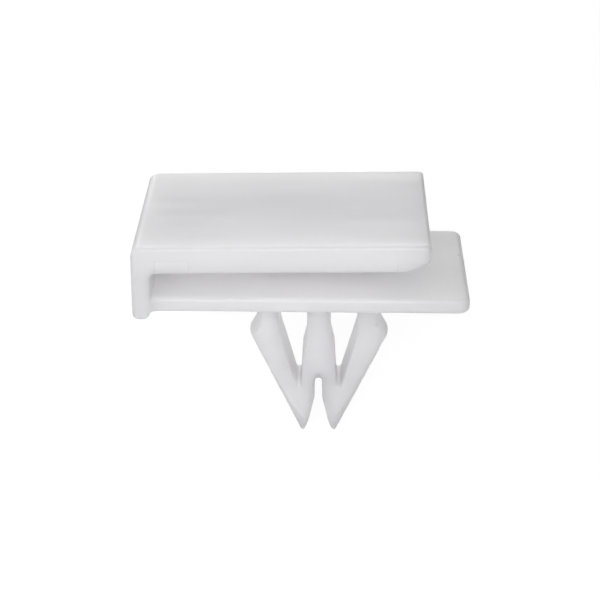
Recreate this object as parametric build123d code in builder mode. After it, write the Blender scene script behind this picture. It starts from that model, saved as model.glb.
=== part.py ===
from build123d import *
import os

# Rocker panel clip: one white nylon moulding.
# A flat clamp, open towards +X, takes the flange of the trim moulding.
# A W-shaped retainer below it snaps into a round hole in the body panel.
# Millimetres. Origin: stem axis on the seat plane, the underside of the base plate.
# +X: towards the open end of the clamp. +Z: away from the body panel.

# Clamp, seen from the side
clip_length = 32.0  # outer face of the wall to the far end of the base plate
wall_to_stem = 17.6  # outer face of the wall to the stem axis
clip_height = 7.05  # seat plane to the top of the cover plate at the wall
cover_rise = 0.45  # the cover plate stands this much higher at its nose
cover_length = 28.1  # outer face of the wall to the nose of the cover plate
cover_thickness = 2.65
base_thickness = 1.5
wall_thickness = 1.7
heel_drop = 0.3  # the foot of the wall reaches this far below the seat plane
lead_in_length = 2.38  # sloped underside that guides the flange in
nose_thickness = 1.69  # what the slope leaves of the cover plate

# Clamp, seen from above
cover_depth = 19.9
base_depth = 17.4
nose_corner_radius = 0.6
base_corner_radius = 1.2
base_flare_radius = 0.9  # blends the base plate out to the deeper wall
base_flare_inset = 0.12  # the flare starts this far inside the wall
base_root_inset = 0.85  # the base plate runs this far into the wall

# Clamp, rounded edges
shoulder_round = 1.0  # top of the wall
foot_outer_round = 0.6
foot_inner_round = 0.75
channel_round = 0.55  # between the wall and the underside of the cover plate
lead_in_round = 2.4
cover_edge_round = 0.38  # all round the front and back of the hook, and round the nose
base_top_round = 0.45
base_bottom_round = 0.4

# Marks of the channel core on the front of the cover plate
mark_length = 3.15
mark_depth = 0.08
mark_corner_round = 0.3
wall_mark_start = 2.27  # from the outer face of the wall
wall_mark_height = 1.35  # above the underside of the cover plate
nose_mark_start = 24.95
nose_mark_height = 0.85

# Retainer, seen from the front
stem_depth = 5.0
post_width = 2.35
post_root_width = 3.2  # below the flare
flare_top = 6.1  # below the seat plane
flare_bottom = 7.9
crotch_depth = 11.15
crotch_inner_width = 3.56  # post width at the crotches
crotch_outer_width = 4.46  # distance between the wings at the crotches
crotch_round = 0.2
wing_gap_width = 7.74  # distance between the wings at their necks
wing_gap_depth = 5.35  # where the inner faces of the wings start to slope
wing_clearance = 0.7  # free ends of the wings to the seat plane
slot_width = 0.67
slot_top = 10.12
slot_round = 0.28
slot_mouth_width = 0.75
slot_mouth_depth = 12.24
tip_gap_width = 3.2  # distance between the tips where they would be sharp
tip_depth = 17.7

# Retainer, turned outline of its outer faces
neck_radius = 6.2
neck_depth = 4.35
neck_lead = 0.3
catch_radius = 6.95
catch_depth = 5.7
catch_round = 0.3
cone_radius = 1.5  # at the level of the tips
core_radius = 3.2  # clear of the post and inside the wings
tip_round = 0.2
stem_edge_round = 0.15
stem_root_round = 0.3

pick_margin = 0.01  # either side of a place where edges or corners are picked

wall_outer_x = -wall_to_stem
wall_inner_x = wall_outer_x + wall_thickness
cover_end_x = wall_outer_x + cover_length
base_end_x = wall_outer_x + clip_length
ceiling_z = clip_height - cover_thickness
nose_top_z = clip_height + cover_rise
lead_in_x = cover_end_x - lead_in_length
cover_slope = cover_rise / cover_length

# Cover plate and wall, one hooked section across the whole depth
with BuildPart() as cover:
    with BuildSketch(Plane.XZ):
        with BuildLine():
            Polyline(
                (wall_outer_x, -heel_drop),
                (wall_outer_x, clip_height),
                (cover_end_x, nose_top_z),
                (cover_end_x, nose_top_z - nose_thickness),
                (lead_in_x, ceiling_z + cover_slope * (lead_in_x - wall_outer_x)),
                (wall_inner_x, ceiling_z + cover_slope * wall_thickness),
                (wall_inner_x, -heel_drop),
                close=True,
            )
        make_face()
        fillet(vertices().sort_by_distance((wall_outer_x, clip_height))[0], shoulder_round)
        fillet(vertices().sort_by_distance((wall_outer_x, -heel_drop))[0], foot_outer_round)
        fillet(vertices().sort_by_distance((wall_inner_x, -heel_drop))[0], foot_inner_round)
        fillet(vertices().sort_by_distance((wall_inner_x, ceiling_z))[0], channel_round)
        fillet(vertices().sort_by_distance((lead_in_x, ceiling_z))[0], lead_in_round)
    extrude(amount=cover_depth / 2, both=True)
    nose_corners = edges().filter_by(Axis.Z).group_by(Axis.X)[-1]
    fillet(nose_corners, nose_corner_radius)
    outline = faces().filter_by(Axis.Y).edges()
    fillet(outline.filter_by(Axis.Z, reverse=True), cover_edge_round)

# Base plate, flared out to the wall at both sides
with BuildPart() as base:
    with BuildSketch(Plane.XY):
        with Locations((wall_outer_x + base_root_inset, 0)):
            Rectangle(
                base_end_x - wall_outer_x - base_root_inset,
                base_depth,
                align=(Align.MIN, Align.CENTER),
            )
            Rectangle(
                wall_thickness - base_root_inset - base_flare_inset,
                base_depth + 2 * base_flare_radius + 2 * base_flare_inset,
                align=(Align.MIN, Align.CENTER),
            )
        flare_x = wall_inner_x - base_flare_inset
        fillet(
            vertices()
            .filter_by_position(Axis.X, flare_x - pick_margin, flare_x + pick_margin)
            .filter_by_position(
                Axis.Y, -base_depth / 2 - pick_margin, base_depth / 2 + pick_margin
            ),
            base_flare_radius,
        )
        fillet(vertices().group_by(Axis.X)[-1], base_corner_radius)
    extrude(amount=base_thickness)
    free_edges = edges().filter_by_position(
        Axis.X, flare_x - pick_margin, base_end_x + pick_margin
    )
    fillet(free_edges.group_by(Axis.Z)[-1], base_top_round)
    free_edges = edges().filter_by_position(
        Axis.X, flare_x - pick_margin, base_end_x + pick_margin
    )
    fillet(free_edges.group_by(Axis.Z)[0], base_bottom_round)

# Retainer: the W cut through from front to back, its outer faces turned to fit a round hole
with BuildPart() as retainer:
    with BuildSketch(Plane.XZ):
        with BuildLine():
            Polyline(
                (0, base_thickness / 2),
                (post_width / 2, base_thickness / 2),
                (post_width / 2, -flare_top),
                (post_root_width / 2, -flare_bottom),
                (crotch_inner_width / 2, -crotch_depth),
                (crotch_outer_width / 2, -crotch_depth),
                (wing_gap_width / 2, -wing_gap_depth),
                (wing_gap_width / 2, 0),
                (catch_radius, 0),
                (catch_radius, -tip_depth),
                (tip_gap_width / 2, -tip_depth),
                (slot_mouth_width / 2, -slot_mouth_depth),
                (slot_width / 2, -slot_top),
                (0, -slot_top),
                close=True,
            )
        make_face()
        crotch_corners = vertices().filter_by_position(
            Axis.Y, -crotch_depth - pick_margin, -crotch_depth + pick_margin
        )
        fillet(crotch_corners, crotch_round)
        fillet(vertices().sort_by_distance((slot_width / 2, -slot_top))[0], slot_round)
        mirror(about=Plane.YZ)
    extrude(amount=stem_depth / 2, both=True)
    with BuildSketch(Plane.XZ):
        with BuildLine():
            Polyline(
                (0, base_thickness),
                (core_radius, base_thickness),
                (core_radius, -wing_clearance),
                (neck_radius - neck_lead, -wing_clearance),
                (neck_radius, -wing_clearance - neck_lead),
                (neck_radius, -neck_depth),
                (catch_radius, -catch_depth),
                (cone_radius, -tip_depth),
                (0, -tip_depth),
                close=True,
            )
        make_face()
        fillet(vertices().sort_by_distance((catch_radius, -catch_depth))[0], catch_round)
        fillet(vertices().sort_by_distance((neck_radius, -neck_depth))[0], catch_round)
    revolve(axis=Axis.Z, mode=Mode.INTERSECT)
    inside_y = stem_depth / 2 - stem_edge_round
    turned_edges = edges().filter_by(GeomType.HYPERBOLA)
    fillet(turned_edges.filter_by_position(Axis.Y, -inside_y, inside_y), tip_round)
    fillet(faces().filter_by(Axis.Y).edges(), stem_edge_round)


def underside_z(start):
    """Height of the cover plate's underside behind the middle of a mark."""
    return ceiling_z + cover_slope * (start + mark_length / 2)


with BuildPart() as panel_clip:
    add(cover.part)
    add(base.part)
    add(retainer.part)
    post_root = edges().filter_by_position(Axis.Z, -pick_margin, pick_margin)
    fillet(post_root.sort_by_distance((0, 0, 0))[0], stem_root_round)
    with BuildSketch(Plane.XZ.offset(cover_depth / 2)):
        for start, height in (
            (wall_mark_start, wall_mark_height),
            (nose_mark_start, nose_mark_height),
        ):
            with Locations((wall_outer_x + start, underside_z(start) + height)):
                RectangleRounded(
                    mark_length,
                    2 * height,
                    mark_corner_round,
                    align=(Align.MIN, Align.MAX),
                )
    extrude(amount=-mark_depth, mode=Mode.SUBTRACT)

panel_clip.part.label = "panel_clip"

os.makedirs("parts", exist_ok=True)
export_step(panel_clip.part, "parts/panel_clip.step")
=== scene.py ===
import math

import bpy
from mathutils import Matrix, Vector


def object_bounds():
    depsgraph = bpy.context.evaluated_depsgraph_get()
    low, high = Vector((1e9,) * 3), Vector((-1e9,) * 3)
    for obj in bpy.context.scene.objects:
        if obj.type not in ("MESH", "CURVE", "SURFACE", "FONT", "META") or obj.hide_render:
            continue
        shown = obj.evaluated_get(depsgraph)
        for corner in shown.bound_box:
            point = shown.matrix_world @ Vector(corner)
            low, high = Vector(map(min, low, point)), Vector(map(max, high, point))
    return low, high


# A rocker panel clip in natural white nylon, on a plain white table.
# Metres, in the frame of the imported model: origin on the retainer's axis at the seat plane.

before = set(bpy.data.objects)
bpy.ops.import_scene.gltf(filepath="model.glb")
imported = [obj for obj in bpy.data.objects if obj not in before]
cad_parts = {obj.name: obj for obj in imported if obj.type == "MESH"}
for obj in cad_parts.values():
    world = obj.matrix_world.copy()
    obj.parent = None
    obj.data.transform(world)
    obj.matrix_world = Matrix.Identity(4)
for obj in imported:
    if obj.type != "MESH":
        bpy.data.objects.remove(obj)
cad_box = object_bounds()
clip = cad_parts["panel_clip"]

MM = 0.001
WHITE = (1.0, 1.0, 1.0, 1.0)

# Tones of the nylon, and how strongly its painted shade lines, its stem line and its speck show
CLOUD_TONES = ((0.862, 0.842, 0.878), (0.874, 0.854, 0.888))
# Tone of the lines: painted shade along the rounds and the core marks' edges, and the darker line
# on the stem
LINE_TONE = (0.80, 0.79, 0.81)
SPECK_TONE = (0.30, 0.29, 0.27)
ROUND_EDGE_SHADE_LEVEL = 0.5
STEM_LINE_SHADE = 0.4
SPECK_SHADE = 0.45

# Relief of its surface, in millimetres
GRAIN_HEIGHT = 0.004
WAVE_HEIGHT = 0.005
LINE_DEPTH = 0.02

# Marks on its surface, in millimetres; the lines at the rounds and around the core marks are
# painted shade
COVER_FACE_Y = 9.944  # just inside the flat front and back of the cover plate and the wall
BASE_FACE_Y = 8.694  # the same, for the base plate
ROUND_EDGE_SHADE_WIDTH = 0.012
WALL_MARK = (-15.33, -12.18, 5.81)  # left, right and top
NOSE_MARK = (7.35, 10.5, 5.67)
MARK_WIDTH = 0.1
MARK_DEPTHS = (9.7, 9.8)  # the core marks come in between these, at the very front
STEM_LINE_Z = -3.3
STEM_LINE_WIDTH = 0.06
STEM_DEPTHS = (3.0, 4.0)  # the stem's line ends between these, clear of its sides
SPECK_AT = (13.9, 2.1, 1.5)  # a dark speck near the end of the base plate
SPECK_RADII = (0.06, 0.16)  # of its core and of its soft edge
FLOW_STRETCH = (0.25, 1.0, 1.0)  # the plastic flowed along X, which draws its clouds out

# White table
TABLE_REACH = 3.0
TABLE_GAP = 0.05 * MM  # under the tips
NEAR_GLOW = 0.76  # share of plain white near the clip, where the lamps add the rest
FAR_GLOW = 0.85  # the same where they don't reach, so that table and room meet unseen
GLOW_RADII = (0.15, 0.45)

# Softboxes: name, azimuth, elevation and watts. Azimuth 0 is the front, 90 the clamp's open end.
SOFTBOXES = (
    ("front_softbox", -6, 20, 2.1),
    ("back_softbox", -172, 4, 1.3),
    ("right_softbox", 85, 20, 0.06),
    ("upper_left_softbox", -90, 60, 0.6),
    ("high_softbox", 0, 45, 0.28),
)
SOFTBOX_SIZE = 0.3
SOFTBOX_DISTANCE = 0.5

# The photograph's camera: 25 degrees down, a little to the right of square on
CAMERA_ANGLES = (1.074, 25.0, 0.08)  # azimuth, elevation and roll
CAMERA_LOOKS_AT = (-1.914, 0.0, -2.638)  # millimetres
CAMERA_DISTANCE = 181.779  # millimetres


class Wire:
    """A socket of a material's node tree. A sum on it adds the Math nodes for that sum."""

    def __init__(self, tree, socket=None):
        self.tree = tree
        self.socket = socket

    def node(self, kind, settings=None, sockets=None, out=0):
        """Adds any other node: its settings first, then the values or links of its sockets."""
        made = self.tree.nodes.new(kind)
        for name, value in (settings or {}).items():
            setattr(made, name, value)
        for name, value in (sockets or {}).items():
            if isinstance(value, Wire):
                self.tree.links.new(value.socket, made.inputs[name])
            else:
                made.inputs[name].default_value = value
        return Wire(self.tree, made.outputs[out] if made.outputs else None)

    def outputs(self):
        """All the sockets of the node that this one belongs to, by name."""
        return {socket.name: Wire(self.tree, socket) for socket in self.socket.node.outputs}

    def math(self, operation, *values):
        return self.node("ShaderNodeMath", {"operation": operation}, dict(enumerate(values)))

    def __add__(self, other):
        return self.math("ADD", self, other)

    def __radd__(self, other):
        return self.math("ADD", other, self)

    def __sub__(self, other):
        return self.math("SUBTRACT", self, other)

    def __rsub__(self, other):
        return self.math("SUBTRACT", other, self)

    def __mul__(self, other):
        return self.math("MULTIPLY", self, other)

    def __rmul__(self, other):
        return self.math("MULTIPLY", other, self)

    def __neg__(self):
        return self.math("MULTIPLY", self, -1.0)

    def largest(self, other):
        return self.math("MAXIMUM", self, other)

    def distance_from(self, value):
        return self.math("ABSOLUTE", self - value)

    def step(self, low, high):
        """0 at low and 1 at high, smooth between them."""
        return self.node(
            "ShaderNodeMapRange",
            {"interpolation_type": "SMOOTHSTEP"},
            {"Value": self, "From Min": low, "From Max": high},
        )

    def over(self, below, colour):
        """A colour laid over another as thickly as this says, from 0 to 1."""
        return self.node(
            "ShaderNodeMix",
            {"data_type": "RGBA"},
            {"Factor": self, 6: below, 7: (*colour, 1.0)},
            out=2,
        )


def new_material(name):
    material = bpy.data.materials.new(name)
    material.use_nodes = True
    material.node_tree.nodes.clear()
    return material, Wire(material.node_tree)


def noise(wire, place, size, detail, roughness):
    """Noise whose features are about that many millimetres across."""
    return wire.node(
        "ShaderNodeTexNoise",
        {"noise_dimensions": "3D"},
        {"Vector": place, "Scale": 1.0 / size, "Detail": detail, "Roughness": roughness},
    )


def thin_line(place, level, width):
    """1 on a line that is drawn where place meets level, and 0 away from it."""
    return 1.0 - place.distance_from(level).step(0.3 * width, width)


def mark_edge_shade(x, z, left, right, top):
    """1 on the sides and the top of a core mark, which is open below, where painted shade marks the
    recess's edges.
    """
    across = x.distance_from(0.5 * (left + right)) - 0.5 * (right - left)
    return thin_line(across.largest(z - top), 0.0, MARK_WIDTH)


def seen_directly(wire):
    """1 for the camera, and for what a reflection or a clear body shows; 0 for other light."""
    path = wire.node("ShaderNodeLightPath").outputs()
    seen = path["Is Camera Ray"].largest(path["Is Glossy Ray"])
    return seen.largest(path["Is Transmission Ray"])


def natural_nylon():
    """Natural white nylon as it leaves the mould: satin, translucent and a little cloudy."""
    material, wire = new_material("natural_nylon")
    place = wire.node("ShaderNodeTexCoord", out=3)
    place = wire.node("ShaderNodeVectorMath", {"operation": "SCALE"}, {0: place, "Scale": 1.0 / MM})
    x, y, z = wire.node("ShaderNodeSeparateXYZ", {}, {"Vector": place}).outputs().values()
    depth = y.distance_from(0.0)

    flow = wire.node("ShaderNodeVectorMath", {"operation": "MULTIPLY"}, {0: place, 1: FLOW_STRETCH})
    cloud = noise(wire, flow, size=2.2, detail=3.0, roughness=0.55).step(0.3, 0.7)

    # Painted shade: dark lines where the rounds start and along the edges of the core marks'
    # recesses; and a line on the stem
    round_edge_shade = thin_line(depth, COVER_FACE_Y, ROUND_EDGE_SHADE_WIDTH)
    round_edge_shade += thin_line(depth, BASE_FACE_Y, ROUND_EDGE_SHADE_WIDTH)
    core_mark_edge_shade = mark_edge_shade(x, z, *WALL_MARK) + mark_edge_shade(x, z, *NOSE_MARK)
    core_mark_edge_shade *= (-y).step(*MARK_DEPTHS)
    stem_line = thin_line(z, STEM_LINE_Z, STEM_LINE_WIDTH) * (1.0 - depth.step(*STEM_DEPTHS))
    lines = (ROUND_EDGE_SHADE_LEVEL * round_edge_shade).largest(core_mark_edge_shade).largest(STEM_LINE_SHADE * stem_line)
    speck = 1.0 - wire.node(
        "ShaderNodeVectorMath", {"operation": "DISTANCE"}, {0: place, 1: SPECK_AT}, out=1
    ).step(*SPECK_RADII)

    low, high = CLOUD_TONES
    colour = cloud.over((*low, 1.0), high)
    # Painted shade along the rounds and the core marks' edges, and the darker stem line, laid over
    # the nylon
    colour = lines.over(colour, LINE_TONE)
    colour = (SPECK_SHADE * speck).over(colour, SPECK_TONE)

    grain = noise(wire, place, size=0.22, detail=2.0, roughness=0.6)
    wave = noise(wire, flow, size=3.0, detail=1.0, roughness=0.4)
    height = GRAIN_HEIGHT * grain + WAVE_HEIGHT * wave - LINE_DEPTH * lines

    surface = wire.node(
        "ShaderNodeBsdfPrincipled",
        {"subsurface_method": "RANDOM_WALK"},
        {
            "Base Color": colour,
            "Roughness": 0.42 + 0.08 * cloud,
            "IOR": 1.53,
            "Specular IOR Level": 0.3,
            "Subsurface Weight": 1.0,
            "Subsurface Radius": (1.0, 0.98, 0.92),
            "Subsurface Scale": 15.0 * MM,  # how far light travels inside it
            "Normal": wire.node(
                "ShaderNodeBump", {}, {"Strength": 0.5, "Distance": MM, "Height": height}
            ),
        },
    )
    wire.node("ShaderNodeOutputMaterial", {}, {"Surface": surface})
    return material


def white_table():
    """A white table top. The camera and reflections see it white, with the clip's soft shadow."""
    material, wire = new_material("white_table")
    place = wire.node("ShaderNodeTexCoord", out=3)
    far = wire.node("ShaderNodeVectorMath", {"operation": "LENGTH"}, {0: place}, out=1)
    glow = NEAR_GLOW + (FAR_GLOW - NEAR_GLOW) * far.step(*GLOW_RADII)
    matt = wire.node("ShaderNodeBsdfDiffuse", {}, {"Color": (0.92, 0.92, 0.92, 1.0)})
    plain = wire.node("ShaderNodeEmission", {}, {"Color": WHITE, "Strength": 1.18})
    mix = {0: glow * seen_directly(wire), 1: matt, 2: plain}
    surface = wire.node("ShaderNodeMixShader", {}, mix)
    wire.node("ShaderNodeOutputMaterial", {}, {"Surface": surface})
    return material


def white_room():
    """A room that gives no light of its own, but looks white to the camera and in reflections."""
    room = bpy.data.worlds.new("room")
    room.use_nodes = True
    room.node_tree.nodes.clear()
    wire = Wire(room.node_tree)
    dark, plain = (
        wire.node("ShaderNodeBackground", {}, {"Color": WHITE, "Strength": strength})
        for strength in (0.0, 1.0)
    )
    surface = wire.node("ShaderNodeMixShader", {}, {0: seen_directly(wire), 1: dark, 2: plain})
    wire.node("ShaderNodeOutputWorld", {}, {"Surface": surface})
    return room


def direction(azimuth, elevation):
    """The way from the clip to something at that azimuth and elevation, in degrees."""
    a, e = math.radians(azimuth), math.radians(elevation)
    return Vector((math.sin(a) * math.cos(e), -math.cos(a) * math.cos(e), math.sin(e)))


def softbox(name, azimuth, elevation, watts):
    """A square soft lamp that faces the clip."""
    lamp = bpy.data.lights.new(name, "AREA")
    lamp.shape = "SQUARE"
    lamp.size = SOFTBOX_SIZE
    lamp.energy = watts
    holder = bpy.data.objects.new(name, lamp)
    back = direction(azimuth, elevation)
    holder.location = back * SOFTBOX_DISTANCE
    holder.rotation_euler = back.to_track_quat("Z", "Y").to_euler()
    bpy.context.scene.collection.objects.link(holder)


def photo_camera():
    lens = bpy.data.cameras.new("camera")
    lens.sensor_width = 36.0
    lens.lens = 109.159
    lens.clip_start = 0.01
    holder = bpy.data.objects.new("camera", lens)
    azimuth, elevation, roll = CAMERA_ANGLES
    back = direction(azimuth, elevation)
    turn = back.to_track_quat("Z", "Y").to_matrix() @ Matrix.Rotation(math.radians(roll), 3, "Z")
    place = Vector(CAMERA_LOOKS_AT) * MM + back * CAMERA_DISTANCE * MM
    holder.matrix_world = Matrix.Translation(place) @ turn.to_4x4()
    bpy.context.scene.collection.objects.link(holder)
    bpy.context.scene.camera = holder


nylon = natural_nylon()
for material_slot in clip.material_slots:
    material_slot.material = nylon

# Table, just under the tips of the retainer
table_z = cad_box[0].z - TABLE_GAP
corners = [(-1, -1), (1, -1), (1, 1), (-1, 1)]
table_mesh = bpy.data.meshes.new("table")
table_mesh.from_pydata(
    [(TABLE_REACH * x, TABLE_REACH * y, table_z) for x, y in corners], [], [(0, 1, 2, 3)]
)
table_mesh.materials.append(white_table())
table = bpy.data.objects.new("table", table_mesh)
bpy.context.scene.collection.objects.link(table)

bpy.context.scene.world = white_room()
for lamp_row in SOFTBOXES:
    softbox(*lamp_row)
photo_camera()
bpy.context.scene.view_settings.view_transform = "Standard"

bpy.context.view_layer.update()
